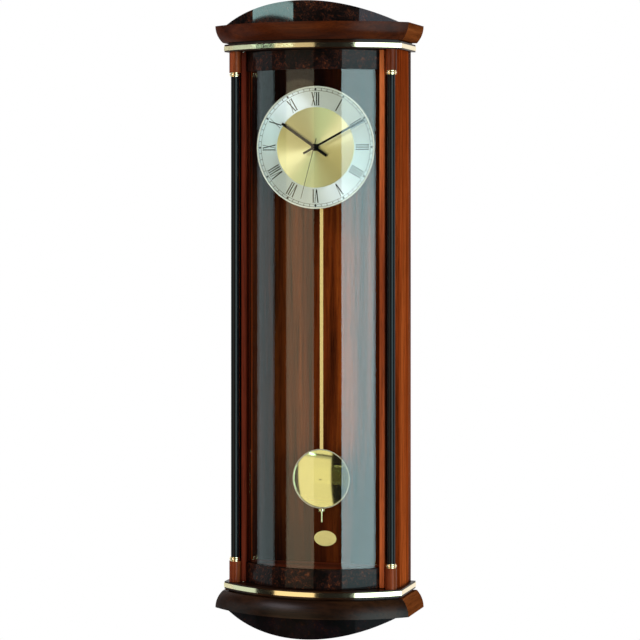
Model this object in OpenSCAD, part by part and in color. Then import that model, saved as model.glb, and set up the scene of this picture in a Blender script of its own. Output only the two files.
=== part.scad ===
// Slim wall clock with a bowed glass door, a swinging pendulum and a battery movement.
// Units are millimetres. +Z is up, +X is the viewer's right, and the wall lies at y = 0.
// The origin is the centre of the round hole in the hanger plate, on the wall plane.
// "Depth" is the distance from the wall towards the viewer, so a depth of 40 is y = -40.
// Heights in the modules count from the middle of the case, and in_place() hangs them.

/* [Case] */
// Clear height between the two ledge boards
case_h = 611; // [590:1:660]
// Width across the outer faces of the side boards
case_w = 199.4; // [190:0.2:220]
// Thickness of each side board
side_t = 10; // [8:0.5:12]
// Thickness of the back board
back_t = 11; // [10.5:0.5:12]
// Depth of the front edge of the side boards
side_depth = 58; // [57:0.5:60]
// Thickness of the inner boards that close the case above and below the door opening
inner_t = 18; // [16:0.5:19]

/* [Ledges and brass strips] */
// Overhang of a ledge board past the side boards
ledge_over = 5.6; // [5:0.1:9]
// Thickness of a ledge board at its edge
ledge_t = 8.5; // [8:0.1:12]
// Depth of a ledge board at its front corners
ledge_corner = 66.4; // [64:0.2:70]
// Depth of a ledge board at the middle of its bow
ledge_apex = 107; // [103:0.5:115]
// Height of the shadow gap between a ledge board and the cornice
recess_t = 2; // [1:0.1:4]
// How far the shadow gap is cut back
recess_in = 4; // [2:0.5:6]
// Height of the brass strip
strip_h = 5; // [3:0.1:6]
// Thickness of the brass strip
strip_t = 1.5; // [1:0.1:2]
// How far the brass strip stands out of the ledge
strip_proud = 0.5; // [0.2:0.1:0.8]
// Wood left between the strip and the inner face of the ledge
strip_edge = 1.5; // [1:0.1:2.5]

/* [Cornices and burl panels] */
// Height of a cornice
cornice_h = 19.4; // [16:0.2:26]
// Overhang of a cornice past the ledge
cornice_over = 9.7; // [6:0.1:12]
// How far the rounded face of a cornice draws in over its height
cornice_lip = 8; // [5:0.1:10]
// Width of the cornice mouldings on plan
moulding_w = 24; // [20:0.5:28]
// Height of the arched burl panels
crest_h = 24.6; // [18:0.2:32]
// Set-back of the burl panels from the cornice's front edge
crest_set = 9.5; // [6:0.5:14]
// Thickness of the burl panels
crest_t = 12; // [8:0.5:16]

/* [Columns] */
// Radius of the turned walnut blocks at the ends of the columns
block_r = 6.6; // [6:0.1:7]
// Length of a walnut block
block_l = 24; // [18:0.5:32]
// Radius of the black columns
column_r = 4.7; // [3.5:0.1:5.4]
// Height of a brass collar
collar_h = 4.6; // [4:0.1:8]
// Radius of a brass collar
collar_r = 6.5; // [5.8:0.1:6.5]

/* [Door] */
// Depth of the door's front at the middle of its bow
door_apex = 97; // [93:0.5:99]
// Depth of the door's front where the bow meets the stiles
door_edge = 62.7; // [61.5:0.1:63.5]
// Thickness of the burl rails
rail_t = 8; // [7.5:0.1:9]
// Height of the burl rails
rail_h = 22; // [20:0.5:26]
// Width of a stile as seen from the front
stile_w = 5.8; // [5:0.1:7]
// Depth of the stiles' front face
stile_front = 65.4; // [65:0.1:67]
// Depth of the stiles' back face
stile_back = 50; // [49:0.1:51]
// Thickness of the curved glass
glass_t = 3; // [2:0.1:4]
// Set-back of the glass from the front of the rails
glass_in = 2; // [1.2:0.1:2.5]
// How far the glass enters its grooves, along its curve
glass_bite = 2.4; // [1.5:0.1:3]
// Radius of the pivot pins that the door turns on
pin_r = 1; // [0.8:0.05:1.2]
// Length of a pivot pin inside the stile
pin_hold = 10; // [6:0.5:16]

/* [Dial] */
// Diameter of the dial over its rim
dial_d = 141; // [130:0.5:150]
// Depth of the dial's front face
dial_depth = 52; // [50:0.5:54]
// Distance of the dial centre below the upper ledge board
dial_drop = 110.3; // [105:0.5:120]
// Thickness of the dial plate
dial_t = 1.2; // [0.8:0.1:1.5]
// Diameter of the gold centre disc
disc_d = 92.4; // [80:0.4:100]
// Thickness of the gold centre disc
disc_t = 0.4; // [0.3:0.05:0.6]
// Width of the dial's rim
rim_w = 1.6; // [1:0.1:2.5]
// How far the rim stands in front of the dial plate
rim_proud = 0.6; // [0.3:0.1:1]

/* [Hands] */
// Length of the hour hand from the centre
hour_len = 48; // [40:0.5:52]
// Tail of the hour hand
hour_tail = 17; // [10:0.5:20]
// Width of the hour hand
hour_w = 3; // [2:0.1:4]
// Length of the minute hand from the centre
minute_len = 66; // [58:0.5:67]
// Tail of the minute hand
minute_tail = 15; // [10:0.5:20]
// Width of the minute hand
minute_w = 2.4; // [1.6:0.1:3]
// Length of the second hand from the centre
second_len = 61; // [50:0.5:66]
// Tail of the second hand
second_tail = 10.5; // [6:0.5:14]
// Width of the second hand
second_w = 0.8; // [0.6:0.05:1]
// Thickness of the hour and minute hands
hand_t = 0.7; // [0.5:0.05:0.9]
// Clockwise angle of the hour hand from twelve
hour_at = 305; // [0:1:359]
// Clockwise angle of the minute hand from twelve
minute_at = 62; // [0:1:359]
// Clockwise angle of the second hand from twelve
second_at = 195; // [0:1:359]

/* [Movement] */
// Width of the movement case
move_w = 56; // [55:0.5:60]
// Height of the movement case above the hand arbor
move_up = 24; // [23.5:0.5:27]
// Height of the movement case below the hand arbor
move_down = 38; // [37.5:0.5:41]
// Depth of the movement from front to back
move_t = 17; // [16.8:0.1:18]
// Wall thickness of the movement case
move_wall = 1.5; // [1.3:0.1:1.8]
// Thickness of the steel bracket that carries the movement
bracket_t = 1; // [0.8:0.1:1.5]
// Radial clearance of every running shaft
run_gap = 0.05; // [0.03:0.01:0.08]

/* [Pendulum] */
// Width of the flat rod
rod_w = 4; // [3:0.1:5]
// Thickness of the flat rod
rod_t = 1.2; // [0.8:0.1:1.4]
// Diameter of the bob over its rim
bob_d = 68.8; // [60:0.4:76]
// Height of the bob's centre above the lower ledge board
bob_up = 117.5; // [110:0.5:130]
// Height of the bob's dome
bob_dome = 4.2; // [3:0.1:7]
// Width of the bob's rim
bob_rim_w = 1.2; // [0.8:0.1:3]
// Radius of the rating nut
nut_r = 4.1; // [3:0.1:5]
// Height of the rating nut
nut_h = 2.7; // [2.5:0.1:5]
// Radius of the threaded stem under the rod
stem_r = 1.25; // [1:0.05:1.5]
// Length of the stem below the rating nut
stem_below = 13; // [8:0.5:16]

/* [Hanger and badge] */
// Distance of the hanger hole below the upper ledge board
hang_drop = 55.5; // [50:0.5:60]
// Radius of the hanger's round hole
hang_r = 5; // [4:0.1:5.5]
// Half the width of the hanger's slot
slot_r = 2.4; // [1.8:0.1:2.6]
// Thickness of the hanger plate
hang_t = 1.5; // [1.2:0.1:2]
// Width of the oval badge
badge_w = 27; // [22:0.5:32]
// Height of the oval badge
badge_h = 18; // [14:0.5:22]
// Thickness of the badge
badge_t = 1; // [0.6:0.1:1.5]
// Height of the badge's centre above the lower ledge board
badge_up = 46.2; // [40:0.2:52]

/* [Hidden] */
$fn = 72;

// Gap kept between pieces that move past each other
gap = 0.6;
// Small clearance of pieces that are seated in each other
seat_gap = 0.1;

case_half = case_w / 2;
half_h = case_h / 2;
side_in = case_half - side_t;
hang_z = half_h - hang_drop;

// Radius of an arc from half its chord and its rise
function arc_r(half, rise) = (half * half + rise * rise) / (2 * rise);
// Distance from the centre of a circle to a chord
function chord_at(r, half) = sqrt(r * r - half * half);

// Bow of the ledges: an arc about a vertical axis at y = bow_y
ledge_half = case_half + ledge_over;
bow_r = arc_r(ledge_half, ledge_apex - ledge_corner);
bow_y = bow_r - ledge_apex;
cornice_r = bow_r + cornice_over;
cornice_half = ledge_half + cornice_over;
cornice_z = half_h + ledge_t + recess_t;
crest_z = cornice_z + cornice_h;
ovolo_r = arc_r(cornice_h, cornice_lip);
crest_r = cornice_r - crest_set;
crest_half = cornice_half - crest_set - 1.5;
arch_r = arc_r(crest_half, crest_h);

// Columns stand in front of the side boards
post_x = case_half - block_r;
post_depth = side_depth + block_r;
collar_z = half_h - block_l;
column_end = collar_z - collar_h;

// Bow of the door: an arc about a vertical axis at y = door_y
post_clear = 0.9;
stile_out = post_x - block_r - post_clear;
stile_in = stile_out - stile_w;
door_r = arc_r(stile_in, door_apex - door_edge);
door_y = door_r - door_apex;
door_top = half_h - gap;
rail_z = door_top - rail_h;
glass_r = door_r - glass_in;
glass_half = glass_r * sin(asin(stile_in / glass_r) + glass_bite / glass_r * 180 / PI);
stile_round = 1.4;
pivot_x = -(stile_out - 2.2);
pivot_depth = stile_front - 2.4;
stile_reach = norm([stile_w - 2.2, pivot_depth - stile_back]);
bush_r = pin_r + 1.2;
bush_l = 6.5;
catch_z = half_h - 38;
catch_half = 9;
strike_t = 0.8;
strike_in = 1.5;
strike_w = stile_w - 2.2;
magnet_gap = 0.4;
magnet_t = 8;
magnet_in = 1;
jamb_t = 8;
jamb_in = 1.2;
jamb_clear = 1;

// Layers in front of the wall, from the dial inwards
dial_z = half_h - dial_drop;
dial_r = dial_d / 2;
bracket_front = dial_depth - dial_t;
move_front = bracket_front - bracket_t;
move_back = move_front - move_t;
move_in = move_front - move_wall;
cover_in = move_back + move_wall;
bracket_half = move_w / 2 + 12;
foot_w = 10;
foot_t = 1;
foot_screw_z = 20;

// Coaxial shafts at the dial centre, from the innermost outwards
second_r = 0.5;
cannon_r = 1.3;
hour_tube_r = 2.1;
bush_thread_r = 3.3;
bush_over = 1.8;
hand_gap = 0.4;
hub_over = 0.4;
hub_gap = 0.5;
bush_front = dial_depth + disc_t + bush_over;
hour_hand_d = bush_front + hand_gap;
hour_hub_t = hand_t + hub_over;
minute_hand_d = hour_hand_d + hour_hub_t + hub_gap;
second_hand_d = minute_hand_d + hour_hub_t + hub_gap;
hour_hub_r = 4.2;
minute_hub_r = 3.8;
cap_r = 3;
cap_h = 1.8;

// Gear train: tooth counts
rotor_teeth = 10;
mid_teeth = 60;
mid_pinion = 10;
seconds_teeth = 50;
seconds_pinion = 8;
third_teeth = 60;
third_pinion = 8;
centre_teeth = 64;
cannon_teeth = 12;
motion_teeth = 36;
motion_pinion = 10;
hour_teeth = 40;
knob_teeth = 12;

// Gear train: shaft distances and the directions of the shafts, seen from the front
mid_far = 9;
mid_dir = 150;
rotor_far = 7;
rotor_dir = 120;
third_far = 8.5;
third_dir = 60;
motion_far = 7.2;
motion_dir = -20;
arbor_r = 0.4;
stud_r = 0.6;
knob_shaft_r = 0.8;

function at_dir(r, a) = [r * cos(a), r * sin(a)];
mid_at = at_dir(mid_far, mid_dir);
rotor_at = mid_at + at_dir(rotor_far, rotor_dir);
third_at = at_dir(third_far, third_dir);
motion_at = at_dir(motion_far, motion_dir);
knob_at = 2 * motion_at;
knob_r = 5;

// Gear train: layers counted back from the inside of the movement's front wall
hour_wheel_d = move_in - 2;
motion_wheel_d = move_in - 4;
centre_wheel_d = move_in - 5.8;
third_wheel_d = move_in - 7.8;
seconds_wheel_d = move_in - 9.8;
mid_wheel_d = move_in - 11.8;
wheel_t = 0.6;

// Battery across the bottom of the movement, with room for a contact at each end
cell_r = 7.1;
cell_tip_r = 2.7;
cell_tip = 0.8;
contact_room = 1.9;
contact_half = 4;
cell_half = move_w / 2 - move_wall - contact_room;
cell_z = -(move_down - move_wall - cell_r - seat_gap);
cell_d = move_in - cell_r - seat_gap;
shelf_z = cell_z + cell_r + 0.6;
shelf_t = 1;
hatch_over = 1;
hatch_drop = 0.4;

// Circuit board with the crystal's can
board_clear = 1.6;
board_t = 1.2;
board_h = 26;
can_r = 1;
can_h = 7;

// Motor beside the train
coil_r = 3;
coil_l = 19;
coil_z = move_up - move_wall - coil_r - 0.5;
stator_d = seconds_wheel_d;
stator_t = 0.8;
core_half = 1.6;
core_leg_half = 4.1;
rotor_r = 2.3;
stator_hole = rotor_r + 0.5;
coil_x = rotor_at[0] + core_leg_half + 2.2;

// Pendulum behind the movement
rocker_up = 18;
hook_down = 40;
rocker_gap = 0.8;
rocker_t = 4.5;
arm_in = 1.2;
rod_gap = 1.4;
rocker_z = dial_z + rocker_up;
rocker_r = 4;
rocker_stud_r = 1;
flange_r = rocker_stud_r + 0.9;
flange_t = 0.7;
rocker_front = move_back - rocker_gap;
rocker_back = rocker_front - rocker_t;
arm_front = rocker_front - arm_in;
arm_t = 2;
arm_half = 3.5;
magnet_r = 3.6;
magnet_clear = 0.5;
drive_coil_r = 5;
drive_coil_hole = 1.6;
drive_coil_t = 3.4;
magnet_z = dial_z - 13;
hook_z = dial_z - hook_down;
rod_front = arm_front - arm_t - rod_gap;
rod_back = rod_front - rod_t;
rod_play = 0.3;
bob_z = -half_h + bob_up;
bob_r = bob_d / 2;
face_r = bob_r - bob_rim_w;
nut_top = bob_z - bob_r - 0.3;
stem_end = nut_top - nut_h - stem_below;
bob_travel = 1;
stem_top = bob_z - face_r + 4;

// Hanger plate let into the back board
plate_half = 21;
plate_low = -11;
plate_high = 21;
pocket_depth = back_t - 2.5;
hang_screw = [15.5, 5];
screw_r = 1.2;
screw_head_r = 2.8;

// Puts pieces whose heights count from the middle of the case at their place under the hanger
module in_place() {
    translate([0, 0, -hang_z]) children();
}

// Solid between two depths, from a shape drawn as the viewer sees it
module from_wall(depth_back, depth_front) {
    translate([0, -depth_back, 0])
        rotate([90, 0, 0])
            linear_extrude(depth_front - depth_back)
                children();
}

// Solid between two depths around the hand arbor
module on_arbor(depth_back, depth_front) {
    translate([0, 0, dial_z])
        from_wall(depth_back, depth_front)
            children();
}

// Solid between two heights, from a shape drawn on plan
module on_plan(z_low, z_high) {
    translate([0, 0, z_low])
        linear_extrude(z_high - z_low)
            children();
}

module both_sides() {
    children();
    mirror([1, 0, 0]) children();
}

module both_ends() {
    children();
    mirror([0, 0, 1]) children();
}

// Plan of a board with a bowed front and straight sides, with its back on the wall
module bowed_plan(half, r, centre_y) {
    intersection() {
        translate([0, centre_y]) circle(r);
        translate([-half, centre_y - r - 1]) square([2 * half, r + 1 - centre_y]);
    }
}

// Plan of a bowed strip of one thickness
module bowed_band(r_out, r_in, centre_y, half) {
    intersection() {
        translate([0, centre_y])
            difference() {
                circle(r_out);
                circle(r_in);
            }
        translate([-half, centre_y - r_out - 1]) square([2 * half, r_out + 1]);
    }
}

// Toothed wheel outline; the first tooth points along the phase angle
function tip_r(teeth, size) = size * (teeth / 2 + 0.75);
function tooth_points(teeth, size, phase, i) =
    let (pitch = 360 / teeth, mid = phase + i * pitch)
    let (root = size * (teeth / 2 - 1.15), tip = tip_r(teeth, size))
    [
        at_dir(root, mid - 0.26 * pitch),
        at_dir(tip, mid - 0.09 * pitch),
        at_dir(tip, mid + 0.09 * pitch),
        at_dir(root, mid + 0.26 * pitch)
    ];

module gear_outline(teeth, size, phase) {
    polygon([for (i = [0:teeth - 1]) each tooth_points(teeth, size, phase, i)]);
}

// Tooth size from the shaft distance and the two tooth counts
function tooth_size(distance, teeth_a, teeth_b) = 2 * distance / (teeth_a + teeth_b);

mid_size = tooth_size(rotor_far, rotor_teeth, mid_teeth);
seconds_size = tooth_size(mid_far, mid_pinion, seconds_teeth);
third_size = tooth_size(third_far, seconds_pinion, third_teeth);
centre_size = tooth_size(third_far, third_pinion, centre_teeth);
motion_size = tooth_size(motion_far, cannon_teeth, motion_teeth);
hour_size = tooth_size(motion_far, motion_pinion, hour_teeth);

// Shaft drawn round a point on the movement
module shaft(at, r, depth_back, depth_front) {
    on_arbor(depth_back, depth_front) translate(at) circle(r);
}

module back_panel() {
    color("#4a2413") in_place()
        difference() {
            from_wall(0, back_t)
                translate([-case_half, -half_h])
                    square([case_w, case_h]);
            // Seat for the hanger plate, and room behind it for the wall screw's head
            translate([0, 0, hang_z]) {
                from_wall(-1, hang_t)
                    translate([-plate_half - seat_gap, plate_low - seat_gap])
                        square([2 * (plate_half + seat_gap), plate_high - plate_low + 2 * seat_gap]);
                from_wall(0, pocket_depth)
                    translate([-hang_r - 4, plate_low + 3])
                        square([2 * (hang_r + 4), plate_high - plate_low - 6]);
                both_sides() translate([hang_screw[0], 0, hang_screw[1]])
                    from_wall(0, pocket_depth) circle(screw_r);
            }
            bracket_screw_holes();
        }
}

module bracket_screw_holes() {
    for (s = [-1, 1], t = [-1, 1])
        translate([s * (bracket_half + foot_w / 2), 0, dial_z + t * foot_screw_z])
            from_wall(back_t - 7, back_t + foot_t + 1) circle(screw_r);
}

module side_board() {
    from_wall(back_t, side_depth)
        translate([side_in, -half_h])
            square([side_t, case_h]);
}

module side_left() {
    color("#7a3d1c") in_place() mirror([1, 0, 0]) side_board();
}

module side_right() {
    color("#7a3d1c") in_place() side_board();
}

// Ledge board with a groove for the brass strip, a shadow gap and the door's pivot hole
module ledge_board() {
    difference() {
        union() {
            on_plan(half_h, half_h + ledge_t)
                bowed_plan(ledge_half, bow_r, bow_y);
            on_plan(half_h + ledge_t, cornice_z)
                bowed_plan(ledge_half - recess_in, bow_r - recess_in, bow_y);
        }
        on_plan(half_h + strip_edge, half_h + strip_edge + strip_h)
            difference() {
                bowed_plan(ledge_half + 5, bow_r + 5, bow_y);
                bowed_plan(groove_half, groove_r, bow_y);
            }
        translate([pivot_x, -pivot_depth, 0])
            on_plan(half_h - 1, half_h + bush_l) circle(bush_r);
    }
}

groove_half = ledge_half - (strip_t - strip_proud);
groove_r = bow_r - (strip_t - strip_proud);

module top_board() {
    color("#2a140b") in_place() ledge_board();
}

module bottom_board() {
    color("#2a140b") in_place() mirror([0, 0, 1]) ledge_board();
}

// Boards inside the case: the door's rails close against their bowed front edges
module inner_boards() {
    color("#6a3418") in_place() both_ends()
        on_plan(half_h - inner_t, half_h)
            difference() {
                union() {
                    translate([-side_in, -(stile_back - 1.5)])
                        square([2 * side_in, stile_back - 1.5 - back_t]);
                    intersection() {
                        translate([0, door_y]) circle(door_r - rail_t - gap);
                        translate([-stile_in + 0.4, -door_apex])
                            square([2 * (stile_in - 0.4), door_apex - back_t - 1]);
                    }
                }
                // Room for the stile to turn in
                translate([pivot_x, -pivot_depth]) circle(stile_reach + gap);
            }
}

// Brass strip round three sides of a ledge board: one bowed front piece and two short side pieces
module brass_strip() {
    on_plan(half_h + strip_edge, half_h + strip_edge + strip_h) {
        intersection() {
            difference() {
                bowed_plan(groove_half + strip_t, groove_r + strip_t, bow_y);
                bowed_plan(groove_half + strip_t + 1, groove_r, bow_y);
            }
            translate([-ledge_half - 5, -ledge_apex - 5])
                square([2 * (ledge_half + 5), ledge_apex + 5]);
        }
        both_sides()
            translate([groove_half, -chord_at(groove_r, groove_half + strip_t) + bow_y])
                square([strip_t, chord_at(groove_r, groove_half + strip_t) - bow_y]);
    }
}

module upper_brass_strip() {
    color("#d9c36a") in_place() brass_strip();
}

module lower_brass_strip() {
    color("#d9c36a") in_place() mirror([0, 0, 1]) brass_strip();
}

// Section of the cornice: upright at its outer edge, rounded in towards the ledge
module ovolo_section(outer) {
    intersection() {
        translate([outer - ovolo_r, crest_z]) circle(ovolo_r);
        translate([outer - moulding_w, cornice_z]) square([moulding_w, cornice_h]);
    }
}

// Whole rounded block that the mouldings are cut from
module cornice_block() {
    intersection() {
        translate([0, bow_y, 0])
            rotate_extrude()
                intersection() {
                    union() {
                        translate([cornice_r - ovolo_r, crest_z]) circle(ovolo_r);
                        translate([0, cornice_z]) square([cornice_r - moulding_w / 2, cornice_h]);
                    }
                    translate([0, cornice_z]) square([cornice_r, cornice_h]);
                }
        from_wall(0, ledge_apex + cornice_over + 1)
            union() {
                both_sides() ovolo_section(cornice_half);
                translate([-cornice_half + moulding_w / 2, cornice_z])
                    square([2 * cornice_half - moulding_w, cornice_h]);
            }
    }
}

// Plan corners of the mitre between the front moulding and a side return
mitre_out = [cornice_half, bow_y - chord_at(cornice_r, cornice_half)];
mitre_in = [
    cornice_half - moulding_w,
    bow_y - chord_at(cornice_r - moulding_w, cornice_half - moulding_w)
];
mitre_far = mitre_out + 0.5 * (mitre_out - mitre_in);

module front_moulding() {
    difference() {
        intersection() {
            cornice_block();
            on_plan(cornice_z, crest_z)
                polygon([
                    mitre_far, mitre_in, [-mitre_in[0], mitre_in[1]], [-mitre_far[0], mitre_far[1]],
                    [-cornice_half - 20, -cornice_r], [cornice_half + 20, -cornice_r]
                ]);
        }
        on_plan(cornice_z - 1, crest_z + 1)
            bowed_plan(cornice_half, cornice_r - moulding_w, bow_y);
    }
}

module side_return() {
    intersection() {
        cornice_block();
        on_plan(cornice_z, crest_z)
            polygon([
                mitre_far, mitre_in, [mitre_in[0], 0], [cornice_half + 5, 0],
                [cornice_half + 5, mitre_far[1]]
            ]);
    }
}

module upper_cornice() {
    color("#6b3315") in_place() front_moulding();
}

module lower_cornice() {
    color("#2e1a0e") in_place() mirror([0, 0, 1]) front_moulding();
}

module cornice_returns() {
    color("#6b3315") in_place() both_ends() both_sides() side_return();
}

// Cores that fill the cornices behind their mouldings
module cornice_cores() {
    color("#4a2413") in_place() both_ends()
        on_plan(cornice_z, crest_z)
            bowed_plan(cornice_half - moulding_w, cornice_r - moulding_w, bow_y);
}

// Bowed panel with an arched edge that stands on the cornice
module arched_panel() {
    intersection() {
        on_plan(crest_z, crest_z + crest_h + 1)
            bowed_band(crest_r, crest_r - crest_t, bow_y, crest_half - 0.5);
        from_wall(0, ledge_apex + cornice_over)
            translate([0, crest_z + crest_h - arch_r]) circle(arch_r, $fn = 180);
    }
}

module crest_panel() {
    color("#3a1c14") in_place() arched_panel();
}

module drop_panel() {
    color("#1c120c") in_place() mirror([0, 0, 1]) arched_panel();
}

module at_posts() {
    both_sides() translate([post_x, -post_depth, 0]) children();
}

module columns() {
    color("#0c0c0e") in_place() at_posts()
        translate([0, 0, -column_end]) cylinder(r = column_r, h = 2 * column_end);
}

module column_blocks() {
    color("#7a3d1c") in_place() both_ends() at_posts()
        translate([0, 0, collar_z]) cylinder(r = block_r, h = block_l);
}

// Turned brass collar: a rounded bead between two thin flanges
module column_collars() {
    color("#d9c36a") in_place() both_ends() at_posts()
        translate([0, 0, column_end])
            rotate_extrude()
                union() {
                    square([collar_r - 1.3, collar_h]);
                    intersection() {
                        translate([collar_r - collar_h / 3.2, collar_h / 2])
                            circle(collar_h / 3.2);
                        translate([0, 0]) square([collar_r, collar_h]);
                    }
                    square([collar_r - 0.5, collar_h / 7]);
                    translate([0, collar_h * 6 / 7]) square([collar_r - 0.5, collar_h / 7]);
                }
}

// Upright strips inside the side boards that the door's stiles close against
module door_jambs() {
    high = half_h - inner_t;
    color("#6a3418") in_place()
        difference() {
            both_sides() on_plan(-high, high)
                union() {
                    translate([stile_in + jamb_in, -(stile_back - gap)])
                        square([side_in - stile_in - jamb_in, jamb_t]);
                    translate([stile_out + jamb_clear, -side_depth])
                        square([side_in - stile_out - jamb_clear, side_depth - stile_back + gap + 1]);
                }
            translate([0, 0, catch_z])
                from_wall(back_t, side_depth)
                    translate([stile_in, -catch_half - seat_gap])
                        square([side_in - stile_in, 2 * (catch_half + seat_gap)]);
        }
}

module pivot_bushes() {
    color("#c8a850") in_place() both_ends()
        translate([pivot_x, -pivot_depth, half_h])
            difference() {
                cylinder(r = bush_r, h = bush_l);
                translate([0, 0, -1]) cylinder(r = pin_r + run_gap, h = bush_l);
            }
}

module magnet_catch() {
    color("#2b2b2e") in_place()
        from_wall(stile_back - strike_t - magnet_gap - magnet_t, stile_back - strike_t - magnet_gap)
            translate([stile_in + magnet_in, catch_z - catch_half])
                square([side_in - stile_in - magnet_in, 2 * catch_half]);
}

module hanger_plate() {
    color("#9a9ca0")
        difference() {
            from_wall(0, hang_t)
                translate([-plate_half, plate_low])
                    square([2 * plate_half, plate_high - plate_low]);
            from_wall(-1, hang_t + 1)
                union() {
                    circle(hang_r);
                    translate([-slot_r, 0]) square([2 * slot_r, hang_r + 6]);
                    translate([0, hang_r + 6]) circle(slot_r);
                }
            both_sides() translate([hang_screw[0], 0, hang_screw[1]])
                rotate([90, 0, 0]) cylinder(r1 = screw_head_r, r2 = screw_r, h = hang_t);
        }
}

// Two countersunk screws in the hanger and four round-headed ones in the bracket's feet
module case_screws() {
    color("#b8b8b8") {
        both_sides() translate([hang_screw[0], 0, hang_screw[1]]) rotate([90, 0, 0]) {
            cylinder(r1 = screw_head_r, r2 = screw_r, h = hang_t);
            translate([0, 0, hang_t]) cylinder(r = screw_r, h = pocket_depth - hang_t);
        }
        in_place()
            for (s = [-1, 1], t = [-1, 1])
                translate([s * (bracket_half + foot_w / 2), 0, dial_z + t * foot_screw_z]) {
                    from_wall(back_t - 7, back_t + foot_t) circle(screw_r);
                    from_wall(back_t + foot_t, back_t + foot_t + 1.8) circle(screw_head_r);
                }
    }
}

module badge_plate() {
    oval = [for (a = [0:7.5:359]) [badge_w / 2 * cos(a), badge_h / 2 * sin(a)]];
    color("#d9c36a") in_place()
        translate([0, 0, -half_h + badge_up])
            from_wall(back_t, back_t + badge_t) polygon(oval);
}

// Steel U that stands on the back board and carries the movement and the dial
module movement_bracket() {
    low = -move_down + 6;
    high = move_up;
    color("#55585c") in_place()
        difference() {
            union() {
                on_arbor(move_front, bracket_front)
                    translate([-bracket_half, low]) square([2 * bracket_half, high - low]);
                both_sides() {
                    on_arbor(back_t, bracket_front)
                        translate([bracket_half - bracket_t, low]) square([bracket_t, high - low]);
                    on_arbor(back_t, back_t + foot_t)
                        translate([bracket_half - bracket_t, low])
                            square([foot_w + bracket_t, high - low]);
                }
            }
            on_arbor(move_front - 1, bracket_front + 1) circle(bush_thread_r + seat_gap);
            bracket_screw_holes();
        }
}

module dial_plate() {
    color("#dfe8ea") in_place()
        on_arbor(dial_depth - dial_t, dial_depth)
            difference() {
                circle(dial_r - rim_w, $fn = 180);
                circle(bush_thread_r + seat_gap);
            }
}

module dial_disc() {
    color("#d3b555") in_place()
        on_arbor(dial_depth, dial_depth + disc_t)
            difference() {
                circle(disc_d / 2, $fn = 180);
                circle(bush_thread_r + seat_gap);
            }
}

module dial_rim() {
    color("#f2f2ec") in_place()
        on_arbor(dial_depth - dial_t, dial_depth + rim_proud)
            difference() {
                circle(dial_r, $fn = 180);
                circle(dial_r - rim_w, $fn = 180);
            }
}

module dial_nut() {
    color("#c8a850") in_place()
        on_arbor(dial_depth + disc_t, dial_depth + disc_t + 1.4)
            difference() {
                circle(bush_thread_r + 1.5, $fn = 6);
                circle(bush_thread_r);
            }
}

module movement_outline() {
    translate([-move_w / 2, -move_down]) square([move_w, move_up + move_down]);
}

module movement_case() {
    color("#1d1d20") in_place()
        difference() {
            union() {
                difference() {
                    on_arbor(cover_in, move_front) movement_outline();
                    on_arbor(cover_in - 1, move_in)
                        translate([-move_w / 2 + move_wall, -move_down + move_wall])
                            square([
                                move_w - 2 * move_wall,
                                move_up + move_down - 2 * move_wall
                            ]);
                }
                on_arbor(cover_in, move_in)
                    translate([-move_w / 2 + move_wall / 2, shelf_z])
                        square([move_w - move_wall, shelf_t]);
                // Threaded bush through the dial, and the stud that the motion wheel turns on
                on_arbor(move_in, bush_front) circle(bush_thread_r);
                shaft(motion_at, stud_r, motion_wheel_d - 0.8, move_in + 0.5);
            }
            shaft([0, 0], hour_tube_r + run_gap, move_in - 1, bush_front + 1);
            for (at = [mid_at, third_at, rotor_at])
                shaft(at, arbor_r + run_gap, move_in - 1, move_in + 1);
            shaft(knob_at, knob_shaft_r + run_gap, move_in - 1, move_in + 1);
        }
}

module movement_cover() {
    color("#2a2a2e") in_place() {
        difference() {
            on_arbor(move_back, cover_in) movement_outline();
            on_arbor(move_back - 1, cover_in + 1)
                translate([-cell_half - hatch_over, -move_down + move_wall])
                    square([
                        2 * (cell_half + hatch_over),
                        shelf_z + move_down - move_wall - hatch_drop
                    ]);
            for (at = [mid_at, third_at, rotor_at])
                shaft(at, arbor_r + run_gap, cover_in - 1, cover_in + 1);
            shaft([0, 0], second_r + run_gap, cover_in - 1, cover_in + 1);
            shaft(knob_at, knob_shaft_r + run_gap, move_back - 1, cover_in + 1);
        }
        // Stud that the pendulum rocker swings on
        translate([0, 0, rocker_z - dial_z])
            shaft([0, 0], rocker_stud_r, rocker_back - 0.6, move_back);
    }
}

module battery() {
    color("#b58a3a") in_place()
        translate([0, -cell_d, dial_z + cell_z]) rotate([0, 90, 0]) {
            translate([0, 0, -cell_half]) cylinder(r = cell_r, h = 2 * cell_half);
            translate([0, 0, cell_half]) cylinder(r = cell_tip_r, h = cell_tip);
        }
}

module battery_contacts() {
    color("#c9cbd0") in_place() {
        on_arbor(cell_d - contact_half, cell_d + contact_half)
            translate([cell_half + cell_tip, cell_z - contact_half])
                square([contact_room - cell_tip, 2 * contact_half]);
        on_arbor(cell_d - contact_half, cell_d + contact_half)
            translate([-move_w / 2 + move_wall, cell_z - contact_half])
                square([contact_room, 2 * contact_half]);
    }
}

module motor_coil() {
    color("#a5521f") in_place()
        difference() {
            translate([coil_x, -(stator_d + stator_t / 2), dial_z + coil_z])
                rotate([0, 90, 0]) cylinder(r = coil_r, h = coil_l);
            on_arbor(stator_d, stator_d + stator_t)
                translate([coil_x - 1, coil_z - core_half]) square([coil_l + 2, 2 * core_half]);
        }
}

// Iron core of the motor: a bar through the coil and a leg round the rotor
module motor_stator() {
    color("#8d9095") in_place()
        on_arbor(stator_d, stator_d + stator_t)
            difference() {
                union() {
                    translate([-move_w / 2 + move_wall, coil_z - core_half])
                        square([move_w - 2 * move_wall, 2 * core_half]);
                    translate([rotor_at[0] - core_leg_half, rotor_at[1] - core_leg_half])
                        square([2 * core_leg_half, coil_z - rotor_at[1] + core_leg_half]);
                }
                translate(rotor_at) circle(stator_hole);
            }
}

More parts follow.
